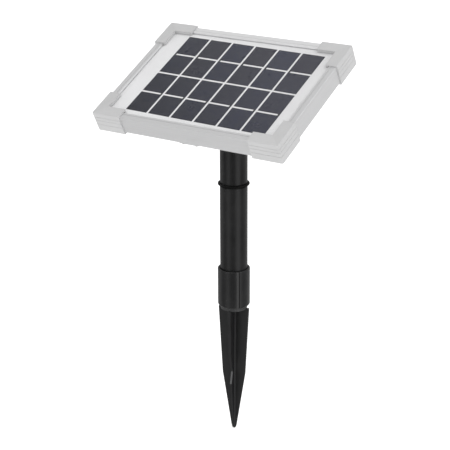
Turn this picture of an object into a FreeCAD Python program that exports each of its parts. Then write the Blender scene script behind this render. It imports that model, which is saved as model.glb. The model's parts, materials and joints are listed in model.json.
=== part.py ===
import FreeCAD, Part
import math
import os

# A small framed solar panel on a ground stake: the panel tilts on a clevis hinge, the head under it
# turns in the pole, and the pole stands in a coupler on a four-bladed ground spike.
# Millimetres. The origin is on the pole's axis at the ground line, where the spike's blades begin.
# +Z is up and the panel's low edge faces -Y. The panel is drawn lying flat, with the tilt hinge's
# axis as its X axis, and is tilted and lifted onto the head at the end.

# Panel
PANEL_WIDTH = 201.6          # over the corner caps, along X
PANEL_LENGTH = 140.6         # over the corner caps, up the slope
FRAME_HEIGHT = 17.8
CAP_WALL = 1.5
FRAME_BOTTOM = 27.6          # from the hinge axis to the frame's back plane
TILT = 27.0                  # degrees from level, as it stands
PIVOT_HEIGHT = 189.2         # of the hinge axis over the ground line

RAIL_WALL = 1.5
LIP_WIDTH, LIP_THICK = 7.8, 1.5
LIP_BEVEL = 0.8
LIP_GROOVE_AT, LIP_GROOVE_WIDE, LIP_GROOVE_DEEP = 4.9, 0.4, 0.3
SHELF_WIDTH = 6.0
FLANGE_WIDTH, FLANGE_THICK = 9.0, 1.3

CAP_LEG = 31.3
CAP_COVER = 11.9             # how far a cap's top reaches in from its outer face
CAP_LIP = 2.0
CAP_ROUND = 1.0
CAP_GROOVES = (4.9, 8.6, 13.2)   # depths of the side grooves under the cap's top
CAP_GROOVE_WIDE, CAP_GROOVE_DEEP = 0.4, 0.2

# Laminate, from the front down
GASKET = 0.3
FILM = 0.25
CELL_THICK = 0.2
ENCAPSULANT = 0.55
BOARD = 2.2
COLUMNS, ROWS = 6, 4
CELL_PITCH_X, CELL_PITCH_Y = 25.55, 28.15
CELL_GAP_X, CELL_GAP_Y = 2.0, 1.95
GRID_SHIFT_X, GRID_SHIFT_Y = 3.8, -0.4   # the cells sit off centre
GRID_TURN = -1.0             # degrees, and a little askew in the frame
TAB_WIDTH = 2.0

# Tilt hinge, along X
TONGUE_HALF = 6.0
TONGUE_ROUND = 10.0
EAR_INNER, EAR_THICK, EAR_ROUND = 7.2, 5.0, 10.5
EAR_ROOT_HALF = 15.0
WASHER_THICK, WASHER_R = 1.0, 9.0
BOLT_R, BOLT_HOLE_R = 3.0, 3.06
BOLT_HEAD_FLATS, BOLT_HEAD_THICK = 10.0, 4.0
BASE_HALF_X, BASE_HALF_Y, BASE_THICK = 15.0, 25.0, 3.0
BAR_HALF, BAR_THICK = 13.0, 2.0
KNOB_WASHER_THICK, KNOB_WASHER_R = 1.2, 7.0
KNOB_HUB_R, KNOB_HUB_LONG = 7.6, 2.6
KNOB_CORE_R, KNOB_LOBE_R, KNOB_THICK, KNOB_LOBES = 10.0, 4.2, 11.0, 5
INSERT_R = 4.6
MOVING_GAP = 0.2             # between faces that slide on each other

# Screws
SCREW_R, SCREW_HOLE_R, SCREW_HEAD_R, SCREW_HEAD_THICK = 1.5, 1.6, 2.8, 1.8

# Pole and stake
POLE_R, POLE_BORE_R = 13.2, 11.0
POLE_BOTTOM, POLE_TOP = 14.0, 125.8
POLE_NECK_R, POLE_NECK_LONG = 12.2, 1.1   # the recess under the ring
RING_R, RING_THICK, RING_ROUND = 15.15, 2.2, 1.0
HEAD_R, HEAD_TOP = 13.1, 168.0
SPIGOT_R, SPIGOT_LONG, SPIGOT_BORE_R = 10.92, 40.0, 8.4
HEAD_HOLLOW_TOP = 160.0
COUPLER_R, COUPLER_BOTTOM, COUPLER_TOP = 15.6, 3.6, 41.9
COUPLER_TOP_ROUND, COUPLER_BOTTOM_ROUND, COUPLER_LEAD_IN = 0.9, 1.8, 1.1
COUPLER_WEB = 2.0
COUPLER_SEAM_AT = -36.5      # degrees from +X
NECK_R, SPIKE_SPIGOT_R = 12.9, 11.0
SPIKE_TURN = 15.0            # degrees the blades are turned about Z
SPIKE_TIP = -132.1
TIP_R = 2.2
BLADE_TOP_R = 15.25
KNEE_R, KNEE_Z = 11.7, -70.0
BARB_NOTCH = [(12.75, -48.0), (6.3, -67.0), (10.2, -79.0)]   # radius and height, from the top down

# Junction box, under the panel's high half
BOX_AT = (52.0, 30.0)
BOX_SIZE = (50.0, 36.0)
BOX_WALL, BOX_DEEP, LID_THICK, LID_GASKET = 2.0, 13.0, 1.8, 0.8
BOX_SLOT = (14.0, 6.0)
LID_SCREW_R, LID_BOSS_R = 1.2, 3.2
GLAND_DROP = 6.9             # gland axis under the panel's back board
GLAND_THREAD_R, GLAND_OUTER_THREAD_R, GLAND_BORE_R = 5.2, 5.2, 3.6
GLAND_FLATS = 12.8
SEAL_R, SEAL_BORE_R, SEAL_LONG = 4.4, 2.4, 8.0
GLAND_NUT_R, GLAND_NUT_LONG, GLAND_MOUTH_R = 6.5, 9.8, 3.4

# Heights that follow from these, in the panel's own flat frame
RAIL_TOP = FRAME_BOTTOM + FRAME_HEIGHT
CAP_TOP = RAIL_TOP + CAP_WALL
CAP_BOTTOM = FRAME_BOTTOM - CAP_WALL
RAIL_HALF_X = PANEL_WIDTH / 2 - CAP_WALL
RAIL_HALF_Y = PANEL_LENGTH / 2 - CAP_WALL
LIP_BOTTOM = RAIL_TOP - LIP_THICK
FILM_TOP = LIP_BOTTOM - GASKET
FILM_BOTTOM = FILM_TOP - FILM
BOARD_TOP = FILM_BOTTOM - ENCAPSULANT
CELL_BOTTOM = FILM_BOTTOM - CELL_THICK
BOARD_BOTTOM = BOARD_TOP - BOARD
SHELF_TOP = BOARD_BOTTOM - GASKET
SHELF_BOTTOM = SHELF_TOP - LIP_THICK
LAMINATE_INSET = RAIL_WALL + GASKET
LAMINATE_HALF_X = RAIL_HALF_X - LAMINATE_INSET
LAMINATE_HALF_Y = RAIL_HALF_Y - LAMINATE_INSET
CELL_X = CELL_PITCH_X - CELL_GAP_X
CELL_Y = CELL_PITCH_Y - CELL_GAP_Y
BAR_BOTTOM = FRAME_BOTTOM - BAR_THICK
BASE_BOTTOM = BAR_BOTTOM - BASE_THICK
EAR_OUTER = EAR_INNER + EAR_THICK
BOX_BOTTOM = BOARD_BOTTOM - BOX_DEEP
LID_TOP = BOX_BOTTOM - LID_GASKET
LID_BOTTOM = LID_TOP - LID_THICK
GLAND_Z = BOARD_BOTTOM - GLAND_DROP
GLAND_FACE = BOX_AT[1] - BOX_SIZE[1] / 2
HEAD_BOTTOM = POLE_TOP + RING_THICK + MOVING_GAP / 2

CORNERS = {"front_left": (-1, -1), "front_right": (1, -1), "back_left": (-1, 1), "back_right": (1, 1)}
BAR_SCREWS = [(x, y) for x in (-7.0, 7.0) for y in (-RAIL_HALF_Y + 5.0, RAIL_HALF_Y - 5.0)]
BASE_SCREWS = [(x, y) for x in (-8.0, 8.0) for y in (-20.5, 20.5)]


def vec(x, y, z):
    return FreeCAD.Vector(x, y, z)


def box(x0, x1, y0, y1, z0, z1):
    return Part.makeBox(x1 - x0, y1 - y0, z1 - z0, vec(x0, y0, z0))


def rod(radius, z0, z1, x=0.0, y=0.0):
    return Part.makeCylinder(radius, z1 - z0, vec(x, y, z0))


def rod_x(radius, x0, x1, y=0.0, z=0.0):
    return Part.makeCylinder(radius, x1 - x0, vec(x0, y, z), vec(1, 0, 0))


def rod_out(radius, near, far):
    """A rod on the gland's axis, from near to far outside the junction box's front wall."""
    start = vec(BOX_AT[0], GLAND_FACE - near, GLAND_Z)
    return Part.makeCylinder(radius, far - near, start, vec(0, -1, 0))


def prism(points, along):
    """The closed outline through these points, pushed along a vector."""
    outline = Part.makePolygon([vec(*p) for p in points] + [vec(*points[0])])
    return Part.Face(outline).extrude(vec(*along))


def hexagon(flats, start, along):
    """A six-sided prism with this width across flats, from start along X or Y."""
    corners = []
    for i in range(6):
        angle = math.radians(60 * i)
        a, b = flats / math.sqrt(3) * math.cos(angle), flats / math.sqrt(3) * math.sin(angle)
        offset = (0, b, a) if along[0] else (a, 0, b)
        corners.append(tuple(s + o for s, o in zip(start, offset)))
    return prism(corners, along)


def fused(shapes):
    whole = shapes[0].multiFuse(shapes[1:])
    return whole.removeSplitter()


def turned(shape, degrees, axis=(0, 0, 1), about=(0, 0, 0)):
    copy = shape.copy()
    copy.rotate(vec(*about), vec(*axis), degrees)
    return copy


def edges_where(shape, test):
    """The edges whose two ends and middle all pass the test."""
    chosen = []
    for edge in shape.Edges:
        middle = edge.valueAt((edge.FirstParameter + edge.LastParameter) / 2)
        if all(test(p) for p in [v.Point for v in edge.Vertexes] + [middle]):
            chosen.append(edge)
    return chosen


def near(a, b, slack=0.01):
    return abs(a - b) < slack


def mitred(profile, half_long, half_deep, reach):
    """A side along the edge at -Y: a profile of (distance in, height) points with 45 degree ends."""
    side = prism([(-half_long, d - half_deep, z) for d, z in profile], (2 * half_long, 0, 0))
    low, high = min(z for _, z in profile), max(z for _, z in profile)
    plan = [(-half_long, -half_deep, low), (half_long, -half_deep, low),
            (half_long - reach, reach - half_deep, low), (reach - half_long, reach - half_deep, low)]
    return side.common(prism(plan, (0, 0, high - low)))


def rail_profile():
    """The frame section: a wall, a lip over the laminate, a shelf under it and a back flange."""
    groove_in, groove_out = LIP_GROOVE_AT + LIP_GROOVE_WIDE / 2, LIP_GROOVE_AT - LIP_GROOVE_WIDE / 2
    edge = 0.4
    return [
        (0, FRAME_BOTTOM + edge), (edge, FRAME_BOTTOM), (FLANGE_WIDTH, FRAME_BOTTOM),
        (FLANGE_WIDTH, FRAME_BOTTOM + FLANGE_THICK), (RAIL_WALL, FRAME_BOTTOM + FLANGE_THICK),
        (RAIL_WALL, SHELF_BOTTOM), (SHELF_WIDTH, SHELF_BOTTOM), (SHELF_WIDTH, SHELF_TOP),
        (RAIL_WALL, SHELF_TOP), (RAIL_WALL, LIP_BOTTOM), (LIP_WIDTH, LIP_BOTTOM),
        (LIP_WIDTH, RAIL_TOP - LIP_BEVEL), (LIP_WIDTH - LIP_BEVEL, RAIL_TOP),
        (groove_in, RAIL_TOP), (groove_in, RAIL_TOP - LIP_GROOVE_DEEP),
        (groove_out, RAIL_TOP - LIP_GROOVE_DEEP), (groove_out, RAIL_TOP),
        (edge, RAIL_TOP), (0, RAIL_TOP - edge),
    ]


def rail(turn):
    """One mitred rail. The front and back ones are drilled for the cross bar's screws."""
    along_x = turn % 180 == 0
    half_long, half_deep = (RAIL_HALF_X, RAIL_HALF_Y) if along_x else (RAIL_HALF_Y, RAIL_HALF_X)
    made = turned(mitred(rail_profile(), half_long, half_deep, FLANGE_WIDTH + 1), turn)
    if along_x:
        for x, y in BAR_SCREWS:
            made = made.cut(rod(SCREW_HOLE_R, FRAME_BOTTOM - 1, FRAME_BOTTOM + FLANGE_THICK + 1, x, y))
    return made


def edge_gasket():
    """Foam tape folded over the laminate's edge inside the rails' channel."""
    inner, top, bottom = RAIL_WALL, LIP_WIDTH - 1.0, SHELF_WIDTH - 0.5
    profile = [(inner, SHELF_TOP), (bottom, SHELF_TOP), (bottom, BOARD_BOTTOM),
               (LAMINATE_INSET, BOARD_BOTTOM), (LAMINATE_INSET, FILM_TOP), (top, FILM_TOP),
               (top, LIP_BOTTOM), (inner, LIP_BOTTOM)]
    sides = []
    for turn in (0, 90, 180, 270):
        halves = (RAIL_HALF_X, RAIL_HALF_Y) if turn % 180 == 0 else (RAIL_HALF_Y, RAIL_HALF_X)
        sides.append(turned(mitred(profile, *halves, top + 1), turn))
    return fused(sides)


def corner_key(sign_x, sign_y):
    """An L that joins two rails inside their hollow section."""
    start, wide, leg = RAIL_WALL + 0.1, 5.0, 24.0
    low, high = FRAME_BOTTOM + FLANGE_THICK + 0.1, SHELF_BOTTOM - 0.1
    x0, y0 = RAIL_HALF_X - start, RAIL_HALF_Y - start
    one = box(x0 - leg, x0, y0 - wide, y0, low, high)
    other = box(x0 - wide, x0, y0 - leg, y0, low, high)
    return mirrored(fused([one, other]), sign_x, sign_y)


def mirrored(shape, sign_x, sign_y):
    """A shape drawn at the +X +Y corner, moved to the corner with these signs."""
    if sign_x < 0:
        shape = shape.mirror(vec(0, 0, 0), vec(1, 0, 0))
    if sign_y < 0:
        shape = shape.mirror(vec(0, 0, 0), vec(0, 1, 0))
    return shape


def corner_cap(sign_x, sign_y):
    """A moulded L over the rails' corner: outer walls, a top and a back, and a lip down to the film."""
    x1, y1 = PANEL_WIDTH / 2, PANEL_LENGTH / 2
    x0, y0 = x1 - CAP_LEG, y1 - CAP_LEG
    block = box(x0, x1, y0, y1, CAP_BOTTOM, CAP_TOP)
    block = block.cut(box(x0 - 1, x1 - CAP_COVER, y0 - 1, y1 - CAP_COVER, CAP_BOTTOM - 1, CAP_TOP + 1))
    corner_edge = edges_where(block, lambda p: near(p.x, x1) and near(p.y, y1))
    block = block.makeFillet(2 * CAP_ROUND, corner_edge)
    rim = edges_where(block, lambda p: near(p.z, CAP_TOP) or near(p.z, CAP_BOTTOM))
    outside = edges_where(block, lambda p: p.x > x1 - 2.5 * CAP_ROUND or p.y > y1 - 2.5 * CAP_ROUND)
    ends = edges_where(block, lambda p: near(p.x, x0) or near(p.y, y0))
    rounded = [e for e in rim if any(e.isSame(o) for o in outside) and not any(e.isSame(o) for o in ends)]
    block = block.makeFillet(CAP_ROUND, rounded)
    hollow = box(x0 - 1, x1 - CAP_WALL, y0 - 1, y1 - CAP_WALL, FRAME_BOTTOM, RAIL_TOP)
    lip = box(x0, x1 - CAP_COVER + CAP_LIP, y0, y1 - CAP_COVER + CAP_LIP, FILM_TOP + 0.05, RAIL_TOP)
    lip = lip.cut(box(x0 - 1, x1 - CAP_COVER, y0 - 1, y1 - CAP_COVER, FILM_TOP, RAIL_TOP + 1))
    block = block.cut(hollow.cut(lip))
    for depth in CAP_GROOVES:
        block = block.cut(side_groove(x1, y1, CAP_TOP - depth))
    return mirrored(block.removeSplitter(), sign_x, sign_y)


def side_groove(x1, y1, height):
    """What a groove round a cap's two outer sides takes away."""
    low, high = height - CAP_GROOVE_WIDE / 2, height + CAP_GROOVE_WIDE / 2
    ring = box(x1 - CAP_LEG - 1, x1 + 1, y1 - CAP_LEG - 1, y1 + 1, low, high)
    floor_x, floor_y = x1 - CAP_GROOVE_DEEP, y1 - CAP_GROOVE_DEEP
    kept = box(x1 - CAP_LEG - 2, floor_x, y1 - CAP_LEG - 2, floor_y, low, high)
    corner = edges_where(kept, lambda p: near(p.x, floor_x) and near(p.y, floor_y))
    return ring.cut(kept.makeFillet(2 * CAP_ROUND - CAP_GROOVE_DEEP, corner))


def laminate_layer(low, high):
    return box(-LAMINATE_HALF_X, LAMINATE_HALF_X, -LAMINATE_HALF_Y, LAMINATE_HALF_Y, low, high)


def cell_left(column):
    return GRID_SHIFT_X + (column - (COLUMNS - 1) / 2) * CELL_PITCH_X - CELL_X / 2


def cell_front(row):
    return GRID_SHIFT_Y + (row - (ROWS - 1) / 2) * CELL_PITCH_Y - CELL_Y / 2


def askew(shapes):
    """Cells or tabs drawn square to the frame, turned together by the grid's small error."""
    return turned(Part.makeCompound(shapes), GRID_TURN, (0, 0, 1), (GRID_SHIFT_X, GRID_SHIFT_Y, 0))


def cell_column(column):
    """One column's cells, four separate wafers."""
    x, top = cell_left(column), CELL_BOTTOM + CELL_THICK
    wafers = [box(x, x + CELL_X, cell_front(row), cell_front(row) + CELL_Y, CELL_BOTTOM, top)
              for row in range(ROWS)]
    return askew(wafers)


def cell_ribbons():
    """Tabs across the last row gap at each column's left end, and the first at its right end."""
    tabs, top = [], CELL_BOTTOM + CELL_THICK
    for column in range(COLUMNS):
        left = cell_left(column)
        right = left + CELL_X
        back, front = cell_front(ROWS - 1), cell_front(1)
        tabs.append(box(left, left + TAB_WIDTH, back - CELL_GAP_Y, back, CELL_BOTTOM, top))
        tabs.append(box(right - TAB_WIDTH, right, front - CELL_GAP_Y, front, CELL_BOTTOM, top))
    return askew(tabs)


def encapsulant(buried):
    """The white layer behind and between the cells, with a pocket for each buried wafer and tab."""
    return laminate_layer(BOARD_TOP, FILM_BOTTOM).cut(buried)


def backing_board():
    """The stiff white board, with the slot that the bus leads come through."""
    half_x, half_y = BOX_SLOT[0] / 2 - 2, BOX_SLOT[1] / 2 - 1
    slot = box(BOX_AT[0] - half_x, BOX_AT[0] + half_x, BOX_AT[1] - half_y, BOX_AT[1] + half_y,
               BOARD_BOTTOM - 1, BOARD_TOP + 1)
    return laminate_layer(BOARD_BOTTOM, BOARD_TOP).cut(slot)


def bus_leads():
    """Two flat leads from the cells down into the terminal block."""
    y = BOX_AT[1]
    return Part.makeCompound([
        box(x - 1.25, x + 1.25, y - 0.15, y + 0.15, BOARD_BOTTOM - 5.0, BOARD_TOP)
        for x in (BOX_AT[0] - 3.0, BOX_AT[0] + 3.0)])


def cross_bar():
    """A flat strip over the frame's back, from the front flange to the back one."""
    half = RAIL_HALF_Y - 1.5
    bar = box(-BAR_HALF, BAR_HALF, -half, half, BAR_BOTTOM, FRAME_BOTTOM)
    ends = edges_where(bar, lambda p: near(abs(p.x), BAR_HALF) and near(abs(p.y), half))
    bar = bar.makeFillet(4.0, ends)
    for x, y in BAR_SCREWS + BASE_SCREWS:
        bar = bar.cut(rod(SCREW_HOLE_R, BAR_BOTTOM - 1, FRAME_BOTTOM + 1, x, y))
    return bar


def screws(places, seat, tip):
    """Cross-recess pan screws with their heads under seat and their tips at tip."""
    made = []
    for x, y in places:
        head = rod(SCREW_HEAD_R, seat - SCREW_HEAD_THICK, seat, x, y)
        rim = edges_where(head, lambda p: near(p.z, seat - SCREW_HEAD_THICK))
        head = head.makeFillet(0.9, rim)
        screw = head.fuse(rod(SCREW_R, seat, tip, x, y))
        made.append(cross_recess(screw, x, y, seat - SCREW_HEAD_THICK, SCREW_HEAD_R * 0.55))
    return Part.makeCompound(made)


def cross_recess(screw, x, y, face, arm):
    """Cuts a cross into a screw head whose outer face looks down."""
    half, deep = 0.35, 0.9
    one = box(x - arm, x + arm, y - half, y + half, face, face + deep)
    other = box(x - half, x + half, y - arm, y + arm, face, face + deep)
    return screw.cut(one.fuse(other))


def ear(sign):
    """One hinge ear: round about the pivot and wider where it meets the base plate."""
    x0 = EAR_INNER if sign > 0 else -EAR_OUTER
    root = BASE_BOTTOM
    reach = math.hypot(EAR_ROOT_HALF, root)
    lean = math.atan2(EAR_ROOT_HALF, root) + math.acos(EAR_ROUND / reach)
    y, z = EAR_ROUND * math.sin(lean), EAR_ROUND * math.cos(lean)
    web = prism([(x0, -EAR_ROOT_HALF, root), (x0, EAR_ROOT_HALF, root), (x0, y, z), (x0, -y, z)],
                (EAR_THICK, 0, 0))
    return web.fuse(rod_x(EAR_ROUND, x0, x0 + EAR_THICK))


def hinge_base():
    """The plate screwed to the cross bar, its two ears, and the pocket that holds the bolt's head."""
    plate = box(-BASE_HALF_X, BASE_HALF_X, -BASE_HALF_Y, BASE_HALF_Y, BASE_BOTTOM, BAR_BOTTOM)
    ends = edges_where(plate, lambda p: near(abs(p.x), BASE_HALF_X) and near(abs(p.y), BASE_HALF_Y))
    plate = plate.makeFillet(4.0, ends)
    boss_end = -EAR_OUTER - BOLT_HEAD_THICK - 0.4
    boss = rod_x(8.2, boss_end, -EAR_OUTER)
    body = fused([plate, ear(1), ear(-1), boss])
    body = body.cut(rod_x(BOLT_HOLE_R, boss_end - 1, EAR_OUTER + 1))
    pocket = hexagon(BOLT_HEAD_FLATS + 0.2, (boss_end, 0, 0), (-EAR_OUTER - boss_end, 0, 0))
    body = body.cut(pocket)
    for x, y in BASE_SCREWS:
        body = body.cut(rod(SCREW_HOLE_R, BASE_BOTTOM - 1, BAR_BOTTOM + 1, x, y))
    return body


def friction_washers():
    """A washer inside each ear."""
    rings = []
    for x0 in (EAR_INNER - WASHER_THICK, -EAR_INNER):
        disc = rod_x(WASHER_R, x0, x0 + WASHER_THICK)
        rings.append(disc.cut(rod_x(BOLT_HOLE_R, x0 - 1, x0 + WASHER_THICK + 1)))
    return Part.makeCompound(rings)


def knob_start():
    return EAR_OUTER + KNOB_WASHER_THICK + MOVING_GAP


def tilt_bolt():
    """A hexagon bolt from the left ear's pocket through the tongue into the knob."""
    end = knob_start() + KNOB_HUB_LONG + KNOB_THICK - 3.5
    head = hexagon(BOLT_HEAD_FLATS, (-EAR_OUTER - BOLT_HEAD_THICK, 0, 0), (BOLT_HEAD_THICK, 0, 0))
    shank = rod_x(BOLT_R, -EAR_OUTER, end)
    tip = edges_where(shank, lambda p: near(p.x, end))
    return head.fuse(shank.makeChamfer(0.6, tip))


def knob_washer():
    disc = rod_x(KNOB_WASHER_R, EAR_OUTER, EAR_OUTER + KNOB_WASHER_THICK)
    return disc.cut(rod_x(BOLT_HOLE_R, EAR_OUTER - 1, EAR_OUTER + KNOB_WASHER_THICK + 1))


def knob():
    """A lobed hand knob, hollow for its threaded insert."""
    start = knob_start()
    grip_start, end = start + KNOB_HUB_LONG, start + KNOB_HUB_LONG + KNOB_THICK
    grip = rod_x(KNOB_CORE_R, grip_start, end)
    for i in range(KNOB_LOBES):
        angle = 2 * math.pi * i / KNOB_LOBES
        y, z = KNOB_CORE_R * math.cos(angle), KNOB_CORE_R * math.sin(angle)
        grip = grip.fuse(rod_x(KNOB_LOBE_R, grip_start, end, y, z))
    grip = grip.removeSplitter()
    grip = grip.makeFillet(1.2, edges_where(grip, lambda p: near(p.x, end)))
    body = grip.fuse(rod_x(KNOB_HUB_R, start, grip_start))
    return body.cut(rod_x(INSERT_R, start, end - 2.5))


def knob_insert():
    """The brass nut moulded into the knob."""
    start = knob_start()
    length = KNOB_HUB_LONG + KNOB_THICK - 2.5
    sleeve = rod_x(INSERT_R, start, start + length)
    return sleeve.cut(rod_x(BOLT_HOLE_R, start - 1, start + length + 1))


def tilt_head():
    """A stub with a spigot down into the pole and a tongue up between the hinge's ears."""
    stub = rod(HEAD_R, HEAD_BOTTOM, HEAD_TOP)
    stub = stub.makeFillet(2.5, edges_where(stub, lambda p: near(p.z, HEAD_TOP)))
    spigot = rod(SPIGOT_R, HEAD_BOTTOM - SPIGOT_LONG, HEAD_BOTTOM)
    spigot = spigot.makeChamfer(1.0, edges_where(spigot, lambda p: near(p.z, HEAD_BOTTOM - SPIGOT_LONG)))
    web = box(-TONGUE_HALF, TONGUE_HALF, -TONGUE_ROUND, TONGUE_ROUND, HEAD_TOP - 4, PIVOT_HEIGHT)
    eye = rod_x(TONGUE_ROUND, -TONGUE_HALF, TONGUE_HALF, 0, PIVOT_HEIGHT)
    body = fused([stub, spigot, web, eye])
    body = body.cut(rod(SPIGOT_BORE_R, HEAD_BOTTOM - SPIGOT_LONG - 1, HEAD_HOLLOW_TOP))
    return body.cut(rod_x(BOLT_HOLE_R, -TONGUE_HALF - 1, TONGUE_HALF + 1, 0, PIVOT_HEIGHT))


def joint_ring():
    """The thin ring between the pole's top and the head."""
    ring = rod(RING_R, POLE_TOP, POLE_TOP + RING_THICK)
    ring = ring.makeFillet(RING_ROUND, edges_where(ring, lambda p: near(math.hypot(p.x, p.y), RING_R)))
    return ring.cut(rod(POLE_BORE_R, POLE_TOP - 1, POLE_TOP + RING_THICK + 1))


def pole_tube():
    """The tube, turned down a little just under the ring."""
    neck = rod(POLE_NECK_R, POLE_BOTTOM, POLE_TOP)
    tube = rod(POLE_R, POLE_BOTTOM, POLE_TOP - POLE_NECK_LONG).fuse(neck)
    return tube.cut(rod(POLE_BORE_R, POLE_BOTTOM - 1, POLE_TOP + 1)).removeSplitter()


def coupler_sleeve():
    """The socket that joins the pole to the spike, with a web between them and two mould seams."""
    bore_r, lower_r = POLE_R + 0.05, SPIKE_SPIGOT_R + 0.05
    sleeve = rod(COUPLER_R, COUPLER_BOTTOM, COUPLER_TOP)
    sleeve = sleeve.makeFillet(COUPLER_TOP_ROUND, edges_where(sleeve, lambda p: near(p.z, COUPLER_TOP)))
    low_rim = edges_where(sleeve, lambda p: near(p.z, COUPLER_BOTTOM))
    sleeve = sleeve.makeFillet(COUPLER_BOTTOM_ROUND, low_rim)
    sleeve = sleeve.cut(rod(bore_r, POLE_BOTTOM, COUPLER_TOP + 1))
    start = vec(0, 0, COUPLER_TOP - COUPLER_LEAD_IN)
    sleeve = sleeve.cut(Part.makeCone(bore_r, bore_r + COUPLER_LEAD_IN, COUPLER_LEAD_IN, start))
    sleeve = sleeve.cut(rod(lower_r, COUPLER_BOTTOM - 1, POLE_BOTTOM - COUPLER_WEB))
    sleeve = sleeve.cut(rod(lower_r - 3, POLE_BOTTOM - COUPLER_WEB - 1, POLE_BOTTOM + 1))
    seam = box(COUPLER_R - 0.3, COUPLER_R + 1, -0.25, 0.25, COUPLER_BOTTOM - 1, COUPLER_TOP + 1)
    for side in (0, 180):
        sleeve = sleeve.cut(turned(seam, COUPLER_SEAM_AT + side))
    return sleeve


def blade_outline(barbed):
    """Half of the spike's side view, as (radius, height) points. A barbed blade has a notch cut in."""
    side = BARB_NOTCH if barbed else [(KNEE_R, KNEE_Z)]
    low_end = SPIKE_TIP + TIP_R + 0.7
    return [(0, 0), (BLADE_TOP_R, 0)] + side + [(TIP_R + 0.2, low_end), (0, low_end)]


def blade(number):
    """One blade, drawn along +X: its outline, thinner towards the knee, and turned into place."""
    points = [(r, -4, z) for r, z in blade_outline(number % 2 == 0)]
    slab = prism(points, (0, 8, 0))
    thick = [(0, -1.7, 1), (0, 1.7, 1), (0, 0.9, -66), (0, 0.75, SPIKE_TIP),
             (0, -0.75, SPIKE_TIP), (0, -0.9, -66)]
    return turned(slab.common(prism(thick, (20, 0, 0))), SPIKE_TURN - 90 + 90 * number)


def ground_spike():
    """Four blades on a tapered core, under a neck and the spigot that enters the coupler."""
    neck = rod(NECK_R, 0, COUPLER_BOTTOM)
    spigot = rod(SPIKE_SPIGOT_R, COUPLER_BOTTOM, POLE_BOTTOM - COUPLER_WEB)
    tip_centre = SPIKE_TIP + TIP_R
    core = Part.makeCone(TIP_R, 3.0, -tip_centre, vec(0, 0, tip_centre))
    tip = Part.makeSphere(TIP_R, vec(0, 0, tip_centre))
    return fused([neck, spigot, core, tip] + [blade(i) for i in range(4)])


def box_outline(grow, low, high):
    """A block on the junction box's plan, larger on every side by grow."""
    half_x, half_y = BOX_SIZE[0] / 2 + grow, BOX_SIZE[1] / 2 + grow
    return box(BOX_AT[0] - half_x, BOX_AT[0] + half_x, BOX_AT[1] - half_y, BOX_AT[1] + half_y, low, high)


def lid_screw_places():
    half_x, half_y = BOX_SIZE[0] / 2 - BOX_WALL - 2.2, BOX_SIZE[1] / 2 - BOX_WALL - 2.2
    return [(BOX_AT[0] + sx * half_x, BOX_AT[1] + sy * half_y) for sx in (-1, 1) for sy in (-1, 1)]


def junction_box():
    """The box glued to the board's back: walls, a floor with the lead slot, and screw bosses."""
    shell = box_outline(0, BOX_BOTTOM, BOARD_BOTTOM)
    upright = edges_where(shell, lambda p: near(abs(p.x - BOX_AT[0]), BOX_SIZE[0] / 2)
                          and near(abs(p.y - BOX_AT[1]), BOX_SIZE[1] / 2))
    shell = shell.makeFillet(3.0, upright)
    shell = shell.cut(box_outline(-BOX_WALL, BOX_BOTTOM - 1, BOARD_BOTTOM - 1.5))
    for x, y in lid_screw_places():
        shell = shell.fuse(rod(LID_BOSS_R, BOX_BOTTOM, BOARD_BOTTOM - 1.5, x, y))
        shell = shell.cut(rod(LID_SCREW_R, BOX_BOTTOM - 1, BOX_BOTTOM + 8, x, y))
    half_x, half_y = BOX_SLOT[0] / 2, BOX_SLOT[1] / 2
    slot = box(BOX_AT[0] - half_x, BOX_AT[0] + half_x, BOX_AT[1] - half_y, BOX_AT[1] + half_y,
               BOARD_BOTTOM - 2, BOARD_BOTTOM + 1)
    return shell.cut(slot).cut(rod_out(GLAND_THREAD_R + 0.05, -BOX_WALL - 1, 1)).removeSplitter()


def lid_gasket():
    """A rubber ring on the box's rim, cut round the lid's bosses."""
    inside = box_outline(-BOX_WALL + 0.2, LID_TOP - 1, BOX_BOTTOM + 1)
    ring = box_outline(-0.2, LID_TOP, BOX_BOTTOM).cut(inside)
    for x, y in lid_screw_places():
        ring = ring.cut(rod(LID_BOSS_R + 0.05, LID_TOP - 1, BOX_BOTTOM + 1, x, y))
    return ring


def junction_lid():
    """The box's cover, with a raised panel and holes for its four screws."""
    lid = box_outline(0.6, LID_BOTTOM, LID_TOP)
    half_x, half_y = BOX_SIZE[0] / 2 + 0.6, BOX_SIZE[1] / 2 + 0.6
    upright = edges_where(lid, lambda p: near(abs(p.x - BOX_AT[0]), half_x)
                          and near(abs(p.y - BOX_AT[1]), half_y))
    lid = lid.makeFillet(3.0, upright)
    lid = lid.makeFillet(0.7, edges_where(lid, lambda p: near(p.z, LID_BOTTOM)))
    for x, y in lid_screw_places():
        lid = lid.fuse(rod(LID_BOSS_R, LID_TOP, BOX_BOTTOM - 0.01, x, y))
        lid = lid.cut(rod(LID_SCREW_R + 0.2, LID_BOTTOM - 1, BOX_BOTTOM + 1, x, y))
    return lid.removeSplitter()


def lid_screws():
    made = []
    for x, y in lid_screw_places():
        head = rod(2.3, LID_BOTTOM - 1.4, LID_BOTTOM, x, y)
        head = head.makeFillet(0.7, edges_where(head, lambda p: near(p.z, LID_BOTTOM - 1.4)))
        screw = head.fuse(rod(LID_SCREW_R - 0.02, LID_BOTTOM, BOX_BOTTOM + 7, x, y))
        made.append(cross_recess(screw, x, y, LID_BOTTOM - 1.4, 1.3))
    return Part.makeCompound(made)


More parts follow.
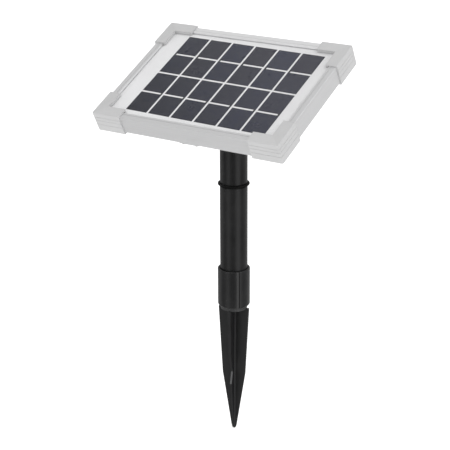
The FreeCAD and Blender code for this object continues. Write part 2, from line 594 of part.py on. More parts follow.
def terminal_block():
    """A two-way screw block on the box's floor, with a slot for each bus lead."""
    top, low = BOARD_BOTTOM - 2.0, BOARD_BOTTOM - 9.0
    block = box(BOX_AT[0] - 7, BOX_AT[0] + 7, BOX_AT[1] - 4, BOX_AT[1] + 4, low, top)
    for x in (BOX_AT[0] - 3.0, BOX_AT[0] + 3.0):
        slot = box(x - 1.35, x + 1.35, BOX_AT[1] - 0.25, BOX_AT[1] + 0.25, BOARD_BOTTOM - 5.1, top + 1)
        block = block.cut(slot)
        block = block.cut(rod(1.45, low - 1, low + 2.0, x, BOX_AT[1]))
    return block


def terminal_screws():
    low = BOARD_BOTTOM - 9.0
    made = []
    for x in (BOX_AT[0] - 3.0, BOX_AT[0] + 3.0):
        screw = rod(1.4, low + 0.2, low + 2.0, x, BOX_AT[1])
        made.append(screw.cut(box(x - 2, x + 2, BOX_AT[1] - 0.2, BOX_AT[1] + 0.2, low, low + 0.8)))
    return Part.makeCompound(made)


def blocking_diode():
    """An axial diode beside the terminal block."""
    y, z = BOX_AT[1] + 8.5, BOARD_BOTTOM - 5.0
    body = rod_x(1.35, BOX_AT[0] - 2.6, BOX_AT[0] + 2.6, y, z)
    lead = rod_x(0.4, BOX_AT[0] - 9, BOX_AT[0] + 9, y, z)
    return body.fuse(lead)


def gland_body():
    """A threaded body through the box's wall, with a hexagon outside and a seat for the seal."""
    start = (BOX_AT[0], GLAND_FACE, GLAND_Z)
    body = hexagon(GLAND_FLATS, start, (0, -3.8, 0))
    body = fused([body, rod_out(GLAND_THREAD_R, -5, 0), rod_out(GLAND_OUTER_THREAD_R, 3.8, 10)])
    return body.cut(rod_out(GLAND_BORE_R, -6, 4)).cut(rod_out(SEAL_R + 0.1, 3, 11))


def gland_seal():
    """The rubber sleeve that grips a cable."""
    return rod_out(SEAL_R, 3.1, 3.1 + SEAL_LONG).cut(rod_out(SEAL_BORE_R, 2, 12))


def gland_nut():
    """The domed nut that squeezes the seal, with grip ribs round it."""
    end = 4.2 + GLAND_NUT_LONG
    nut = rod_out(GLAND_NUT_R, 4.2, end)
    nut = nut.makeFillet(2.2, edges_where(nut, lambda p: near(p.y, GLAND_FACE - end)))
    for i in range(12):
        angle = 2 * math.pi * i / 12
        x, z = BOX_AT[0] + GLAND_NUT_R * math.cos(angle), GLAND_Z + GLAND_NUT_R * math.sin(angle)
        nut = nut.cut(Part.makeCylinder(0.7, 7.5, vec(x, GLAND_FACE - 4.2, z), vec(0, -1, 0)))
    nut = nut.cut(rod_out(GLAND_OUTER_THREAD_R + 0.05, 4, 10.4)).cut(rod_out(SEAL_R + 0.1, 10, 11.6))
    return nut.cut(rod_out(GLAND_MOUTH_R, 11, end + 1))


def on_the_head(shape):
    """Tilts a piece drawn in the panel's flat frame and lifts it to the hinge's height."""
    placed = turned(shape, TILT, (1, 0, 0))
    placed.translate(vec(0, 0, PIVOT_HEIGHT))
    return placed


def panel_pieces():
    """Every piece that tilts with the panel, in its flat frame."""
    pieces = {f"cell_column_{i + 1}": cell_column(i) for i in range(COLUMNS)}
    pieces["cell_ribbons"] = cell_ribbons()
    pieces["encapsulant"] = encapsulant([s for shape in pieces.values() for s in shape.Solids])
    pieces["front_film"] = laminate_layer(FILM_BOTTOM, FILM_TOP)
    pieces["backing_board"] = backing_board()
    pieces["edge_gasket"] = edge_gasket()
    for name, turn in (("front", 0), ("right", 90), ("back", 180), ("left", 270)):
        pieces[f"{name}_rail"] = rail(turn)
    for name, signs in CORNERS.items():
        pieces[f"corner_cap_{name}"] = corner_cap(*signs)
        pieces[f"corner_key_{name}"] = corner_key(*signs)
    pieces["cross_bar"] = cross_bar()
    pieces["cross_bar_screws"] = screws(BAR_SCREWS, BAR_BOTTOM, FRAME_BOTTOM + 3.0)
    pieces["hinge_base"] = hinge_base()
    pieces["hinge_base_screws"] = screws(BASE_SCREWS, BASE_BOTTOM, FRAME_BOTTOM + 2.0)
    pieces["friction_washers"] = friction_washers()
    pieces["tilt_bolt"] = tilt_bolt()
    pieces["knob_washer"] = knob_washer()
    pieces["tilt_knob"] = knob()
    pieces["knob_insert"] = knob_insert()
    for make in (bus_leads, junction_box, lid_gasket, junction_lid, lid_screws, terminal_block,
                 terminal_screws, blocking_diode, gland_body, gland_seal, gland_nut):
        pieces[make.__name__] = make()
    return pieces


def main():
    pieces = {name: on_the_head(shape) for name, shape in panel_pieces().items()}
    for make in (tilt_head, joint_ring, pole_tube, coupler_sleeve, ground_spike):
        pieces[make.__name__] = make()
    os.makedirs("parts", exist_ok=True)
    for name, shape in pieces.items():
        if not shape.isValid():
            print("not valid:", name)
        shape.exportStep(f"parts/{name}.step")
    print(len(pieces), "parts")


main()
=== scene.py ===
import json
import math

import bmesh
import bpy
from mathutils import Matrix, Vector


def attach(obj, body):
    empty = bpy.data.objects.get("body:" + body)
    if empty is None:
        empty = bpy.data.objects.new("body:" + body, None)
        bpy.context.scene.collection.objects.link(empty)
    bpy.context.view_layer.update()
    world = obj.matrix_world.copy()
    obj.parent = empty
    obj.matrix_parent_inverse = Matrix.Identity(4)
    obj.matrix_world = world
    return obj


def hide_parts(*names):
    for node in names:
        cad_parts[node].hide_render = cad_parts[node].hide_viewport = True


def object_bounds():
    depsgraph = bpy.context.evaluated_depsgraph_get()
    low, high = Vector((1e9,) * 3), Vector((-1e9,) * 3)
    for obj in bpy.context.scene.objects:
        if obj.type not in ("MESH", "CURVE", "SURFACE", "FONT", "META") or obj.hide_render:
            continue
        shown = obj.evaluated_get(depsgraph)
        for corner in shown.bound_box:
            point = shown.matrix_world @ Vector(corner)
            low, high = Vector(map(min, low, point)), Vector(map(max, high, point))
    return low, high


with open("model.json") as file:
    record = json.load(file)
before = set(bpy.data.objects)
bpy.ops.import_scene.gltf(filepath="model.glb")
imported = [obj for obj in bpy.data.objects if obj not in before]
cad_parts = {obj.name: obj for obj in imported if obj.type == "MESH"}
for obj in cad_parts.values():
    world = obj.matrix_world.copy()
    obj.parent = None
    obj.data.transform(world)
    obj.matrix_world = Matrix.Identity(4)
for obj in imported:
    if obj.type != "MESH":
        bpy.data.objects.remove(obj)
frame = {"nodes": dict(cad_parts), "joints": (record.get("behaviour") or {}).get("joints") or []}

# The looks of a small framed solar panel on a ground stake. Everything is in metres, in the row
# frame: the origin is on the pole's axis at the ground line, +Z is up, and the panel's low edge
# faces -Y. "Panel frame" below means the panel lying flat with the tilt hinge as its X axis.

cad_low, cad_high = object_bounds()
MM = 0.001


# ---------------------------------------------------------------- driving values

PANEL_TILT = math.radians(27)
COLUMNS, ROWS = 6, 4
CELL_PITCH = Vector((25.55, 28.15)) * MM
CELL_SIZE = Vector((23.55, 26.2)) * MM
GRID_TURN = math.radians(-1)
COUPLER_SEAM = math.radians(-36.5)

FILM_SAG = 0.04 * MM
FILM_RAMP = 0.5 * MM
FILM_CLEARANCE = 0.03 * MM
LINEN_PITCH, LINEN_DEPTH = 0.9 * MM, 0.03 * MM
FINGER_PITCH, FINGER_WIDE = 0.9 * MM, 0.09 * MM

VIEW_AZIMUTH = math.radians(34.35)
VIEW_ELEVATION = math.radians(19.5)
VIEW_ROLL = math.radians(-0.24)
VIEW_DISTANCE = 1.241
LENS, SENSOR = 103.9, 36
AIM_HEIGHT, AIM_SIDE = 0.08478, -0.00843

FLOOR_SIZE = 40
SOFTBOX_DISTANCE = 3.0
SKY, SKY_OVERHEAD_IN_GLOSS = 0.95, 0.42
OVERHEAD_FROM, OVERHEAD_TO = 0.05, 0.4

# What glossy surfaces see round the object, as pairs of an angle and a brightness. The angle is in
# degrees from the camera's side, positive to the right.
STUDIO_ROUND = ((-180, 0.40), (-135, 0.30), (-114, 0.38), (-98, 0.24), (-80, 0.06), (-64, 0.14),
                (-52, 0.52), (-38, 0.52), (-26, 0.10), (-8, 0.02), (10, 0.04), (22, 0.62),
                (34, 0.86), (46, 0.70), (62, 0.14), (76, 0.10), (95, 0.26), (110, 0.34),
                (128, 0.44), (150, 0.60), (180, 0.40))


# ---------------------------------------------------------------- measures of the frame

PIVOT = Vector(next(j["pos_m"] for j in frame["joints"] if j["name"] == "panel_tilt"))
TO_PANEL = Matrix.Translation(PIVOT) @ Matrix.Rotation(PANEL_TILT, 4, "X")


def panel_box(node):
    """A node's lowest and highest corners in the panel frame."""
    back = TO_PANEL.inverted()
    points = [back @ v.co for v in frame["nodes"][node].data.vertices]
    return (Vector(min(p[i] for p in points) for i in range(3)),
            Vector(max(p[i] for p in points) for i in range(3)))


CAPS_HIGH = panel_box("corner_cap_back_right")[1]
CELLS_LOW = panel_box("cell_column_1")[0]
CELLS_HIGH = panel_box(f"cell_column_{COLUMNS}")[1]
GRID_CENTRE = ((CELLS_LOW + CELLS_HIGH) / 2).xy


# ---------------------------------------------------------------- nodes of materials and the sky

class Nodes:
    """A node tree. Each method adds one or two nodes and returns the socket that carries on."""

    def __init__(self, tree):
        self.tree = tree

    def add(self, kind, inputs=(), **settings):
        """A node of this kind, with its settings, and its inputs as values or sockets."""
        node = self.tree.nodes.new("ShaderNode" + kind)
        for key, value in settings.items():
            setattr(node, key, value)
        for key, value in dict(inputs).items():
            if isinstance(value, bpy.types.NodeSocket):
                self.tree.links.new(value, node.inputs[key])
            else:
                node.inputs[key].default_value = value
        return node

    def end_in(self, output, shader):
        """Makes this shader the surface of the tree's output node."""
        self.tree.links.new(shader, self.tree.nodes[output].inputs["Surface"])

    def maths(self, operation, a, b=0.0, c=0.0):
        return self.add("Math", {0: a, 1: b, 2: c}, operation=operation).outputs[0]

    def parts(self, where):
        """The X, Y and Z of a vector."""
        return self.add("SeparateXYZ", {0: where}).outputs

    def between(self, value, low, high, to_low=0.0, to_high=1.0):
        """A value mapped from one range to another and kept inside it."""
        inputs = {"Value": value, "From Min": low, "From Max": high, "To Min": to_low, "To Max": to_high}
        return self.add("MapRange", inputs).outputs[0]

    def mix(self, share, one, other):
        """Two colours, or a colour over another, blended by a share from 0 to 1."""
        node = self.add("Mix", {"Factor": share}, data_type="RGBA")
        for socket, value in ((node.inputs[6], one), (node.inputs[7], other)):
            if isinstance(value, bpy.types.NodeSocket):
                self.tree.links.new(value, socket)
            else:
                socket.default_value = (*value, 1)
        return node.outputs[2]


# ---------------------------------------------------------------- camera, floor and light

def round_the_object(azimuth, elevation):
    """The direction from the object to a place round it, for an azimuth that is 0 in front, at -Y."""
    level = math.cos(elevation)
    return Vector((math.sin(azimuth) * level, -math.cos(azimuth) * level, math.sin(elevation)))


def make_camera():
    """The camera, at its distance from a point a little beside the pole's axis."""
    data = bpy.data.cameras.new("view")
    data.sensor_width, data.lens = SENSOR, LENS
    camera = bpy.data.objects.new("view", data)
    bpy.context.scene.collection.objects.link(camera)
    back = round_the_object(VIEW_AZIMUTH, VIEW_ELEVATION)
    side = Vector((math.cos(VIEW_AZIMUTH), math.sin(VIEW_AZIMUTH), 0))
    place = Vector((0, 0, AIM_HEIGHT)) + side * AIM_SIDE + back * VIEW_DISTANCE
    facing = (-back).to_track_quat("-Z", "Y").to_matrix().to_4x4()
    camera.matrix_world = Matrix.Translation(place) @ facing @ Matrix.Rotation(VIEW_ROLL, 4, "Z")
    bpy.context.scene.camera = camera


def softbox(azimuth, elevation, size, power, gloss_only=False):
    """A square area light aimed at the pole. Its azimuth counts from the camera's, positive to the right."""
    data = bpy.data.lights.new("softbox", "AREA")
    data.size, data.energy = size, power
    light = bpy.data.objects.new("softbox", data)
    bpy.context.scene.collection.objects.link(light)
    out = round_the_object(VIEW_AZIMUTH + math.radians(azimuth), math.radians(elevation))
    place = Vector((0, 0, AIM_HEIGHT)) + out * SOFTBOX_DISTANCE
    light.matrix_world = Matrix.Translation(place) @ out.to_track_quat("Z", "Y").to_matrix().to_4x4()
    light.visible_camera = False
    light.visible_diffuse = not gloss_only


def studio_level(nodes, direction):
    """The studio's brightness in a direction: STUDIO_ROUND near the horizon, and an even grey overhead."""
    ahead = round_the_object(VIEW_AZIMUTH, 0)
    turned = nodes.add("VectorRotate", {"Vector": direction, "Angle": -math.atan2(ahead.y, ahead.x)},
                       rotation_type="Z_AXIS").outputs[0]
    x, y, z = nodes.parts(turned)
    share = nodes.between(nodes.maths("ARCTAN2", y, x), -math.pi, math.pi)
    ramp = nodes.add("ValToRGB", {0: share})
    ramp.color_ramp.interpolation = "EASE"
    stops = ramp.color_ramp.elements
    while len(stops) < len(STUDIO_ROUND):
        stops.new(0.5)
    for stop, (degrees, level) in zip(stops, STUDIO_ROUND):
        stop.position = (degrees + 180) / 360
        stop.color = (level, level, level, 1)
    overhead = nodes.add("MapRange", {"Value": z, "From Min": OVERHEAD_FROM, "From Max": OVERHEAD_TO},
                         interpolation_type="SMOOTHSTEP").outputs[0]
    return nodes.mix(overhead, ramp.outputs[0], (SKY_OVERHEAD_IN_GLOSS,) * 3)


def make_sky():
    """An even sky for matt surfaces that glossy ones see as a dim studio."""
    world = bpy.data.worlds.new("sky")
    world.use_nodes = True
    nodes = Nodes(world.node_tree)
    even = nodes.tree.nodes["Background"]
    even.inputs["Color"].default_value = (SKY, SKY, SKY, 1)
    direction = nodes.add("TexCoord").outputs["Generated"]
    studio = nodes.add("Background", {"Color": studio_level(nodes, direction)}).outputs[0]
    in_gloss = nodes.add("LightPath").outputs["Is Glossy Ray"]
    mixed = nodes.add("MixShader", {0: in_gloss, 1: even.outputs[0], 2: studio}).outputs[0]
    nodes.end_in("World Output", mixed)
    bpy.context.scene.world = world


def make_stage():
    """A white floor at the spike's tip, an even sky and soft lights from the upper right and left."""
    bpy.ops.mesh.primitive_plane_add(size=FLOOR_SIZE, location=(0, 0, cad_low.z))
    floor = bpy.context.object
    floor.name = "floor"
    floor.data.materials.append(floor_material())
    make_sky()
    softbox(azimuth=50, elevation=50, size=1.6, power=18)
    softbox(azimuth=-40, elevation=32, size=1.0, power=12, gloss_only=True)
    bpy.context.scene.view_settings.view_transform = "Standard"


# ---------------------------------------------------------------- materials

# The first two greys are painted highlights on the spike: on the neck, and on the upward faces in the
# notches.
NECK_PAINTED_HIGHLIGHT_GREY, NOTCH_PAINTED_HIGHLIGHT_GREY, RUBBED_GREY = (0.042, 0.042, 0.043), (0.10, 0.10, 0.102), (0.05, 0.05, 0.05)
SEAM_BLACK = (0.0, 0.0, 0.0)
CELL_BLUE, CELL_BROWN, CELL_CLOUD = (0.034, 0.039, 0.070), (0.042, 0.040, 0.054), (0.054, 0.056, 0.068)
CELL_RIM, CELL_FINGER = (0.006, 0.006, 0.009), (0.16, 0.165, 0.18)
ZINC, TIN, BARE_LEAD, BRASS = (0.62, 0.62, 0.6), (0.1, 0.1, 0.11), (0.7, 0.7, 0.68), (0.7, 0.52, 0.25)
RUBBER_BLACK, PLASTIC_GREY = (0.02, 0.02, 0.02), (0.5, 0.51, 0.52)
NOISE_ROUGHNESS = 0.55
NOISE_LOW, NOISE_HIGH = 0.3, 0.7
FILM_GLOSS = 0.016


class Surface(Nodes):
    """A material in the making. colour, rough and bump feed a socket to its shader."""

    def __init__(self, name, colour=(0.5, 0.5, 0.5), roughness=0.5, metallic=0.0, specular=0.5):
        self.material = bpy.data.materials.new(name)
        self.material.use_nodes = True
        super().__init__(self.material.node_tree)
        self.shader = self.tree.nodes["Principled BSDF"]
        self.set("Base Color", (*colour, 1))
        self.set("Roughness", roughness)
        self.set("Metallic", metallic)
        self.set("Specular IOR Level", specular)

    def set(self, name, value):
        self.shader.inputs[name].default_value = value

    def fed_by(self, name):
        """The socket that already feeds this input of the shader."""
        return self.shader.inputs[name].links[0].from_socket

    def colour(self, socket):
        self.tree.links.new(socket, self.shader.inputs["Base Color"])

    def rough(self, socket):
        self.tree.links.new(socket, self.shader.inputs["Roughness"])

    def bump(self, height, depth):
        """Relief of this depth, on top of any that the shader already has."""
        inputs = {"Height": height, "Distance": depth}
        if self.shader.inputs["Normal"].links:
            inputs["Normal"] = self.fed_by("Normal")
        self.tree.links.new(self.add("Bump", inputs).outputs[0], self.shader.inputs["Normal"])

    def place(self, in_panel=False, stretch=(1, 1, 1)):
        """Object coordinates, in the panel frame if asked, scaled for streaks or grain."""
        where = self.add("TexCoord").outputs["Object"]
        if in_panel:
            where = self.add("Mapping", {"Vector": where, "Location": PIVOT, "Rotation": (PANEL_TILT, 0, 0)},
                             vector_type="TEXTURE").outputs[0]
        return self.add("Mapping", {"Vector": where, "Scale": stretch}).outputs[0]

    def noise(self, where, per_metre, detail):
        inputs = {"Vector": where, "Scale": per_metre, "Detail": detail, "Roughness": NOISE_ROUGHNESS}
        return self.add("TexNoise", inputs).outputs["Fac"]

    def spread(self, noise, low=0.0, high=1.0):
        """A noise, nearly all of which lies from NOISE_LOW to NOISE_HIGH, spread over a range."""
        return self.between(noise, NOISE_LOW, NOISE_HIGH, low, high)

    def grey(self, level, blue):
        """A grey of this level, with its blue multiplied."""
        inputs = {0: level, 1: level, 2: self.maths("MULTIPLY", level, blue)}
        return self.add("CombineColor", inputs).outputs[0]


def floor_material():
    """White paper, which glossy surfaces see as the studio round the object."""
    s = Surface("floor_paper", (0.9, 0.9, 0.9), 0.9)
    s.set("Emission Color", (1, 1, 1, 1))
    s.set("Emission Strength", 0.4)
    studio = s.add("Emission", {"Color": studio_level(s, s.place())}).outputs[0]
    in_gloss = s.add("LightPath").outputs["Is Glossy Ray"]
    mixed = s.add("MixShader", {0: in_gloss, 1: s.shader.outputs[0], 2: studio}).outputs[0]
    s.end_in("Material Output", mixed)
    return s.material


def black_plastic(name="moulded_black", level=0.012, roughness=0.34, grain=1.0):
    """Injection-moulded black plastic: faint clouding, a fine orange peel and drawn vertical streaks."""
    s = Surface(name)
    where = s.place()
    cloud = s.noise(where, per_metre=55, detail=4)
    streak = s.noise(s.place(stretch=(1, 1, 0.04)), per_metre=900, detail=2)
    s.colour(s.grey(s.spread(cloud, level * 0.8, level * 1.25), blue=1.04))
    uneven = s.maths("ADD", cloud, s.maths("MULTIPLY", streak, 0.5))
    s.rough(s.between(uneven, 0.5, 1.0, roughness - 0.05, roughness + 0.07))
    s.bump(s.noise(where, per_metre=1500, detail=2), 0.02 * MM * grain)
    s.bump(streak, 0.012 * MM * grain)
    return s


def coupler_plastic():
    """Black plastic with two mould seams half a turn apart, each dark with a rubbed band beside it."""
    s = black_plastic("coupler_black", 0.013, 0.32)
    seam_inside, seam_outside = 0.012, 0.034
    rub_inside, rub_outside, rub_beside = 0.03, 0.1, 0.1
    x, y, _ = s.parts(s.place())
    turn = s.maths("SUBTRACT", s.maths("ARCTAN2", y, x), COUPLER_SEAM)
    seam = s.between(off_the_line(s, turn), seam_inside, seam_outside, 1.0, 0.0)
    rub = s.between(off_the_line(s, s.maths("ADD", turn, rub_beside)), rub_inside, rub_outside, 1.0, 0.0)
    rubbed = s.mix(s.maths("MULTIPLY", rub, 0.5), s.fed_by("Base Color"), RUBBED_GREY)
    s.colour(s.mix(seam, rubbed, SEAM_BLACK))
    s.rough(s.maths("ADD", s.fed_by("Roughness"), s.maths("MULTIPLY", seam, 0.6)))
    s.set("Sheen Weight", 0.10)
    s.set("Sheen Roughness", 0.35)
    return s


def off_the_line(s, angle):
    """How far an angle is from 0 or half a turn, whichever is nearer."""
    return s.maths("ABSOLUTE", s.maths("WRAP", angle, math.pi / 2, -math.pi / 2))


def stake_plastic():
    """The spike's rougher black, with a painted highlight on the neck over the blades and a patchy painted
    highlight on the upward faces low in the notches.
    """
    s = black_plastic("stake_black", 0.013, 0.42, 1.6)
    neck_from, neck_to = -0.3 * MM, 0.1 * MM
    notch_below, clear_above = -66 * MM, -60 * MM
    z = s.parts(s.place())["Z"]
    # painted highlight: the neck over the blades is made paler, standing in for the reflection on its sides
    tone_and_painted_light = s.mix(s.between(z, neck_from, neck_to), s.fed_by("Base Color"), NECK_PAINTED_HIGHLIGHT_GREY)
    deep = s.between(z, notch_below, clear_above, 1.0, 0.0)
    slope = s.parts(s.add("NewGeometry").outputs["Normal"])["Z"]
    rising = s.between(slope, 0.12, 0.22)
    patchy = s.between(s.noise(s.place(), per_metre=900, detail=3), 0.2, 0.6, 0.6, 1.0)
    # painted highlight: upward faces low in the notches are made paler in patches, standing in for glossy
    # reflection of light from above
    painted_notch_highlight = s.maths("MULTIPLY", s.maths("MULTIPLY", deep, rising), patchy)
    s.colour(s.mix(painted_notch_highlight, tone_and_painted_light, NOTCH_PAINTED_HIGHLIGHT_GREY))
    return s


def ring_rubber_painted_shade():
    """A near black rubber ring with hardly any gloss, darker than the other black plastics: that extra
    darkness is painted shade on and under the ring.
    """
    s = Surface("ring_rubber_painted_shade", specular=0.16)
    grain = s.noise(s.place(), per_metre=1400, detail=3)
    # painted shade: the colour is kept near black, standing in for the shade on and under the ring
    s.colour(s.grey(s.spread(grain, 0.002, 0.0045), blue=1.03))
    s.bump(grain, 0.02 * MM)
    return s


def cap_plastic():
    """Light grey moulded caps: a fine grain along each leg, a faint mitre line between the legs, and one leg
    painted a little lighter, standing in for the different sheen of its grain.
    """
    s = Surface("cap_plastic")
    where = s.place(True)
    x, y, _ = s.parts(where)
    along_x = s.noise(s.place(True, (0.12, 1, 1)), per_metre=1400, detail=3)
    along_y = s.noise(s.place(True, (1, 0.12, 1)), per_metre=1400, detail=3)
    to_side = s.maths("SUBTRACT", CAPS_HIGH.x, s.maths("ABSOLUTE", x))
    to_end = s.maths("SUBTRACT", CAPS_HIGH.y, s.maths("ABSOLUTE", y))
    skew = s.maths("SUBTRACT", to_side, to_end)
    leg = s.maths("GREATER_THAN", skew, 0.0)
    grain = s.add("Mix", {"Factor": leg, 2: along_y, 3: along_x}).outputs[0]
    mitre = s.between(s.maths("ABSOLUTE", skew), 0.0, 0.35 * MM)
    cloud = s.noise(where, per_metre=40, detail=3)
    tone_and_painted_light = s.maths("ADD", s.spread(grain, -0.012, 0.012), s.spread(cloud, -0.01, 0.01))
    # painted light: one leg of each cap is made a little lighter, standing in for the sheen its grain
    # catches
    tone_and_painted_light = s.maths("ADD", tone_and_painted_light, s.maths("MULTIPLY", leg, 0.014))
    level = s.maths("ADD", tone_and_painted_light, s.between(mitre, 0, 1, 0.488, 0.513))
    s.colour(s.grey(level, blue=1.005))
    s.rough(s.spread(grain, 0.42, 0.55))
    s.bump(grain, 0.03 * MM)
    s.bump(mitre, 0.05 * MM)
    return s.material


def rail_aluminium(name, along, tone_and_painted_light=0.0):
    """Satin anodised extrusion with drawing lines along its length, "x" or "y", made lighter or darker per
    rail by an offset that is painted light, standing in for how light falls on each rail.
    """
    s = Surface(name, metallic=0.25)
    stretch = (0.02, 1, 1) if along == "x" else (1, 0.02, 1)
    lines = s.noise(s.place(True, stretch), per_metre=2200, detail=3)
    broad = s.noise(s.place(True, stretch), per_metre=260, detail=2)
    grain = s.noise(s.place(True), per_metre=2600, detail=2)
    drawn = s.maths("ADD", s.maths("MULTIPLY", broad, 0.5), lines)
    # painted light: the offset lightens or darkens the whole rail to stand in for how light falls on it
    level = s.between(drawn, 0.5, 1.0, 0.615 + tone_and_painted_light, 0.66 + tone_and_painted_light)
    s.colour(s.grey(s.maths("ADD", level, s.spread(grain, -0.02, 0.02)), blue=1.008))
    s.rough(s.spread(lines, 0.36, 0.5))
    s.bump(lines, 0.015 * MM)
    return s.material


def white_laminate():
    """The white layer round the cells, made a little greyer to the right by painted shade."""
    s = Surface("white_laminate", roughness=0.6)
    cloud = s.noise(s.place(True), per_metre=18, detail=4)
    fibre = s.noise(s.place(True), per_metre=900, detail=2)
    level = s.maths("ADD", s.spread(cloud, 0.76, 0.79), s.spread(fibre, -0.02, 0.02))
    x = s.parts(s.place(True))["X"]
    # painted shade: the white is dimmed towards the right, standing in for less light falling there
    level = s.maths("MULTIPLY", level, s.between(x, -50 * MM, 80 * MM, 1.0, 0.92))
    s.colour(s.grey(level, blue=1.01))
    s.bump(fibre, 0.02 * MM)
    return s.material


def cell_material():
    """Dark slate wafers, each with its own tint, with crystal flakes, printed fingers and a dark rim, and a
    painted sheen that darkens them towards the front left and lightens them towards the back right.
    """
    s = Surface("solar_cell", specular=0.22)
    where = s.add("Mapping", {"Vector": s.place(True), "Location": (*GRID_CENTRE, 0),
                              "Rotation": (0, 0, GRID_TURN)}, vector_type="TEXTURE").outputs[0]
    x, y, _ = s.parts(where)
    across = s.maths("ADD", s.maths("DIVIDE", x, CELL_PITCH.x), COLUMNS / 2)
    up = s.maths("ADD", s.maths("DIVIDE", y, CELL_PITCH.y), ROWS / 2)
    cloud = s.noise(s.place(True), per_metre=70, detail=4)
    tint = s.mix(s.between(cloud, 0.35, 0.75, 0.0, 0.3), cell_tint(s, across, up), CELL_CLOUD)
    crystal = s.add("TexVoronoi", {"Vector": where, "Scale": 430}, feature="F1").outputs["Color"]
    flake = s.add("SeparateColor", {0: crystal}).outputs[0]
    tint = s.mix(s.between(flake, 0.0, 1.0, 0.0, 0.6), tint, CELL_CLOUD)
    always_positive = s.maths("ADD", y, 1.0)
    finger = s.maths("PINGPONG", always_positive, FINGER_PITCH)
    tint = s.mix(s.between(finger, 0.0, FINGER_WIDE, 0.22, 0.0), tint, CELL_FINGER)
    # painted sheen: the cells' colour is scaled from darker at the front left to lighter at the back right,
    # standing in for the film's sheen
    to_far_right = s.maths("ADD", x, s.maths("MULTIPLY", y, 0.8))
    painted_sheen = s.between(to_far_right, -130 * MM, 70 * MM, 0.4, 1.08)
    tint = s.add("VectorMath", {0: tint, "Scale": painted_sheen}, operation="SCALE").outputs[0]
    s.colour(s.mix(s.maths("MULTIPLY", cell_rim(s, across, up), 0.8), tint, CELL_RIM))
    s.rough(s.spread(cloud, 0.26, 0.36))
    s.bump(s.noise(where, per_metre=1800, detail=2), 0.01 * MM)
    return s.material


def cell_tint(s, across, up):
    """Blue to brown by the cell: browner in every second column and towards the high edge."""
    column, row = s.maths("FLOOR", across), s.maths("FLOOR", up)
    seed = 3.0
    number = s.add("CombineXYZ", {0: column, 1: row, 2: seed}).outputs[0]
    own = s.add("TexWhiteNoise", {"Vector": number}, noise_dimensions="3D").outputs["Value"]
    striped = s.maths("PINGPONG", column, 1.0)
    higher = s.between(row, 0.0, ROWS - 1.0, 0.15, 0.6)
    brown = s.maths("ADD", s.maths("MULTIPLY", striped, higher), s.maths("MULTIPLY", own, 0.4))
    return s.mix(brown, CELL_BLUE, CELL_BROWN)


def cell_rim(s, across, up):
    """A share that is 0 over most of a cell and rises to 1 at its edges, all in shares of the pitch."""
    half = Vector((CELL_SIZE.x / CELL_PITCH.x, CELL_SIZE.y / CELL_PITCH.y)) / 2
    rim_x = s.between(off_the_middle(s, across), half.x - 0.028, half.x - 0.012)
    rim_y = s.between(off_the_middle(s, up), half.y - 0.026, half.y - 0.011)
    return s.maths("MAXIMUM", rim_x, rim_y)


def off_the_middle(s, count):
    """How far a running count of cells is from the middle of the cell it is in."""
    return s.maths("ABSOLUTE", s.maths("SUBTRACT", s.maths("FRACT", count), 0.5))


def film_material():
    """Clear textured film: it lets everything through and adds a soft sheen over a fine linen emboss."""
    s = Surface("clear_film")
    x, y, _ = s.parts(s.place(True))
    weave = 2 * math.pi / LINEN_PITCH
    warp = s.maths("SINE", s.maths("MULTIPLY", s.maths("ADD", x, y), weave))
    weft = s.maths("SINE", s.maths("MULTIPLY", s.maths("SUBTRACT", x, y), weave))
    linen = s.maths("MULTIPLY", warp, weft)
    bump = s.add("Bump", {"Height": linen, "Distance": LINEN_DEPTH}).outputs[0]
    gloss = {"Color": (1, 1, 1, 1), "Roughness": 0.32, "Normal": bump}
    sheen = s.add("BsdfAnisotropic", gloss).outputs[0]
    clear = s.add("BsdfTransparent", {"Color": (0.99, 0.99, 0.99, 1)}).outputs[0]
    slant = s.add("LayerWeight", {"Blend": 0.5, "Normal": bump}).outputs["Facing"]
    share = s.between(s.maths("POWER", slant, 5.0), 0.0, 1.0, FILM_GLOSS, 1.0)
    mixed = s.add("MixShader", {0: share, 1: clear, 2: sheen}).outputs[0]
    s.end_in("Material Output", mixed)
    return s.material


def metal(name, colour, roughness=0.35):
    """Bright metal with a patchy tarnish and fine turned or rolled scratches."""
    s = Surface(name, metallic=1.0)
    lines = s.noise(s.place(True, (1, 0.15, 1)), per_metre=1800, detail=3)
    tarnish = s.spread(s.noise(s.place(), per_metre=120, detail=4))
    darker = tuple(c * 0.8 for c in colour)
    s.colour(s.mix(tarnish, darker, colour))
    s.rough(s.spread(lines, roughness - 0.08, roughness + 0.1))
    s.bump(lines, 0.02 * MM)
    return s.material


def plain_plastic(name, colour, roughness):
    """A small moulded or rubber piece with a fine grain."""
    s = Surface(name)
    cloud = s.noise(s.place(), per_metre=90, detail=3)
    darker = tuple(c * 0.85 for c in colour)
    s.colour(s.mix(s.spread(cloud), darker, colour))
    s.rough(s.spread(cloud, roughness - 0.05, roughness + 0.06))
    s.bump(s.noise(s.place(), per_metre=1400, detail=2), 0.02 * MM)
    return s.material


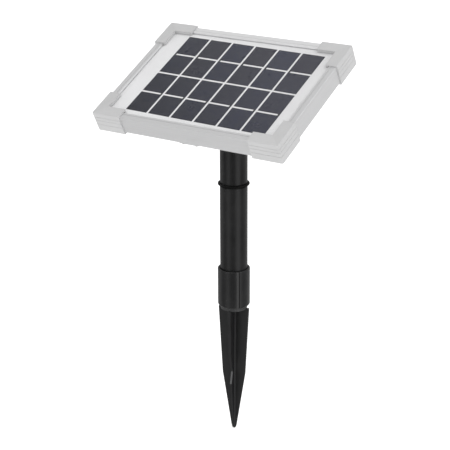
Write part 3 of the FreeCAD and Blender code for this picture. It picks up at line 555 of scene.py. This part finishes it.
def chosen_materials():
    """The materials of the nodes that have one by name."""
    rubber = plain_plastic("rubber", RUBBER_BLACK, 0.7)
    laminate = white_laminate()
    return {
        # The offsets per rail are painted light: the back rail lighter, the front, left and right rails
        # darker.
        "front_rail": rail_aluminium("front_metal", "x", -0.045),
        "back_rail": rail_aluminium("back_metal", "x", 0.10),
        "left_rail": rail_aluminium("left_metal", "y", -0.03),
        "right_rail": rail_aluminium("right_metal", "y", -0.03),
        "cross_bar": rail_aluminium("bar_metal", "y"),
        "encapsulant": laminate,
        "backing_board": laminate,
        "cell_ribbons": metal("tinned_tab", TIN, 0.4),
        "bus_leads": metal("bus_lead", BARE_LEAD),
        "edge_gasket": rubber,
        "lid_gasket": rubber,
        "gland_seal": rubber,
        "friction_washers": rubber,
        "ground_spike": stake_plastic().material,
        "coupler_sleeve": coupler_plastic().material,
        "joint_ring": ring_rubber_painted_shade().material,
        "knob_insert": metal("brass", BRASS),
        "blocking_diode": plain_plastic("diode_epoxy", RUBBER_BLACK, 0.3),
    }


def dress():
    """Gives every CAD node its material."""
    black = black_plastic().material
    steel = metal("zinc_steel", ZINC)
    grey = plain_plastic("grey_plastic", PLASTIC_GREY, 0.5)
    caps, cell = cap_plastic(), cell_material()
    chosen = chosen_materials()
    for name, node in frame["nodes"].items():
        if name in chosen:
            material = chosen[name]
        elif name.startswith("cell_column"):
            material = cell
        elif name.startswith("corner_cap"):
            material = caps
        elif name.startswith("corner_key") or name == "terminal_block":
            material = grey
        elif "screw" in name or name in ("tilt_bolt", "knob_washer"):
            material = steel
        else:
            material = black
        node.data.materials.clear()
        node.data.materials.append(material)


def smooth(piece, degrees=35):
    """Smooth shading that breaks at edges sharper than this."""
    for face in piece.data.polygons:
        face.use_smooth = True
    piece.data.set_sharp_from_angle(angle=math.radians(degrees))


# ---------------------------------------------------------------- the film over the cells

def grid_lines(count, pitch, size):
    """Line positions across a row of cells, from their middle: up onto each cell, over it and down again."""
    lines = []
    for i in range(count):
        start = (i - count / 2) * pitch + (pitch - size) / 2
        end = start + size
        lines += [(start - FILM_RAMP, 0), (start, 1), (end, 1), (end + FILM_RAMP, 0)]
    return lines


def film_rows(low, high):
    """Rows of x, y and a share that is 1 on a cell, following the turned cell grid inside the outline."""
    across = grid_lines(COLUMNS, CELL_PITCH.x, CELL_SIZE.x)
    along = grid_lines(ROWS, CELL_PITCH.y, CELL_SIZE.y)
    askew = Matrix.Rotation(GRID_TURN, 2)
    edge_x = [low.x] + [(GRID_CENTRE + askew @ Vector((x, 0))).x for x, _ in across] + [high.x]
    rows = [[(x, low.y, 0) for x in edge_x]]
    for y, up_y in along:
        middle = [(*(GRID_CENTRE + askew @ Vector((x, y))), up_x * up_y) for x, up_x in across]
        rows.append([(low.x, GRID_CENTRE.y + y, 0)] + middle + [(high.x, GRID_CENTRE.y + y, 0)])
    rows.append([(x, high.y, 0) for x in edge_x])
    return rows


def make_film():
    """The clear front film, resting a hair over the cells and sagging a little into the gaps between."""
    low, high = panel_box("front_film")
    mesh = bmesh.new()
    top = [[mesh.verts.new((x, y, high.z - FILM_SAG * (1 - up))) for x, y, up in row]
           for row in film_rows(low, high)]
    for near, far in zip(top, top[1:]):
        for i in range(len(near) - 1):
            mesh.faces.new((near[i], near[i + 1], far[i + 1], far[i]))
    edge = [e for e in mesh.edges if e.is_boundary]
    rim = bmesh.ops.extrude_edge_only(mesh, edges=edge)["geom"]
    for vertex in rim:
        if isinstance(vertex, bmesh.types.BMVert):
            vertex.co.z = low.z + FILM_CLEARANCE
    film = new_piece("film", mesh, film_material())
    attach(film, "panel")
    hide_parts("front_film")


def new_piece(name, mesh, material):
    """A mesh made in the panel frame, moved into place."""
    mesh.transform(TO_PANEL)
    bmesh.ops.recalc_face_normals(mesh, faces=mesh.faces)
    data = bpy.data.meshes.new(name)
    mesh.to_mesh(data)
    mesh.free()
    piece = bpy.data.objects.new(name, data)
    bpy.context.scene.collection.objects.link(piece)
    data.materials.append(material)
    return piece


make_camera()
make_stage()
dress()
for part in frame["nodes"].values():
    smooth(part)
make_film()
